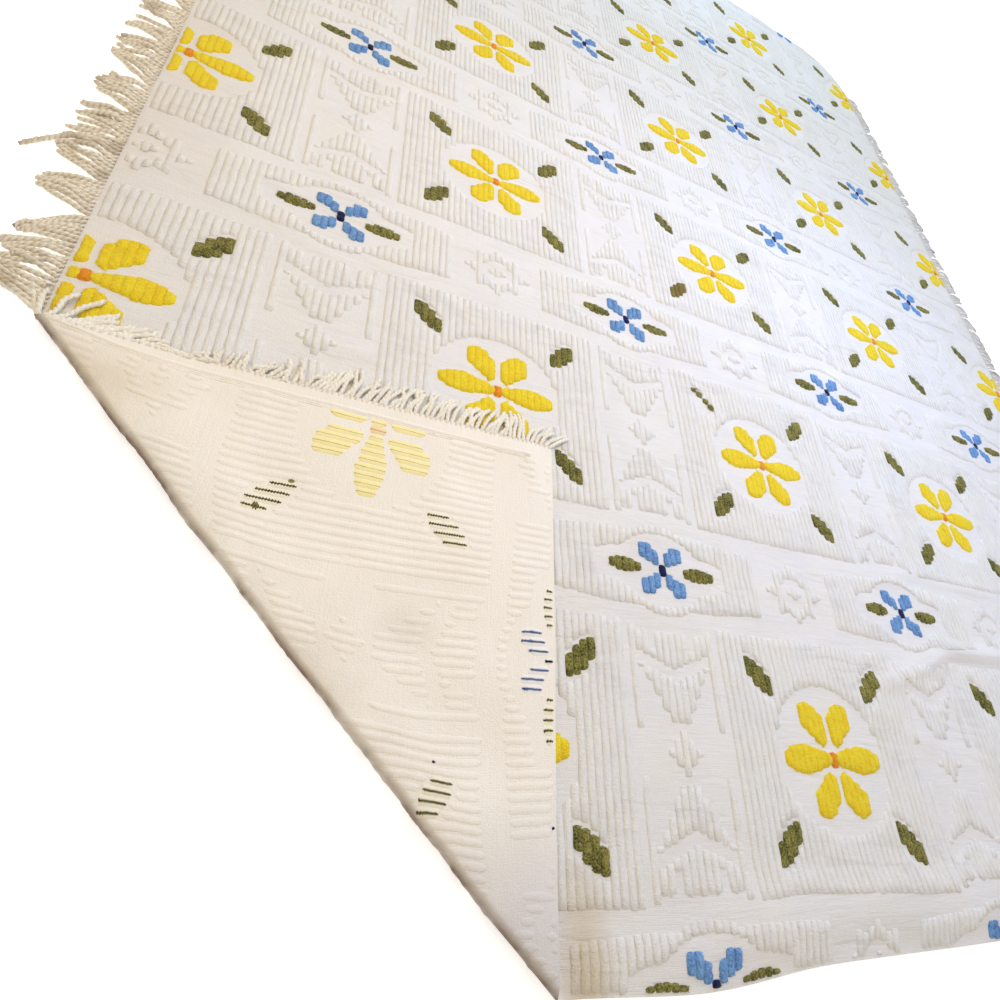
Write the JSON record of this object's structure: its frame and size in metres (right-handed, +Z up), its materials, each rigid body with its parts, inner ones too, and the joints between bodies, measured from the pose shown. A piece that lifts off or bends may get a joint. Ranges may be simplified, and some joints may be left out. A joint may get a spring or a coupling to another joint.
{
  "type": "chenille bedspread",
  "caption": "Flat-laid cotton chenille bedspread with flower tufting, fringed long edges and one corner turned back.",
  "frame": {"origin": "middle of the spread's outline, on the surface it lies on", "axes": "+X across the spread to the right-hand fringe, +Y along it to the far hem, +Z up; the near left corner is turned back"},
  "size_m": [2.0848, 2.7485, 0.0195],
  "materials": {
    "chenille_cotton": "undyed off-white cotton ground with raised rows of cut-pile chenille tufts, matt",
    "fringe_yarn": "plied ecru cotton yarn, matt"
  },
  "bodies": {
    "root": {"bedspread_cloth": "chenille_cotton", "fringe_left": "fringe_yarn", "fringe_turned": "fringe_yarn", "fringe_right": "fringe_yarn"}
  },
  "joints": []
}
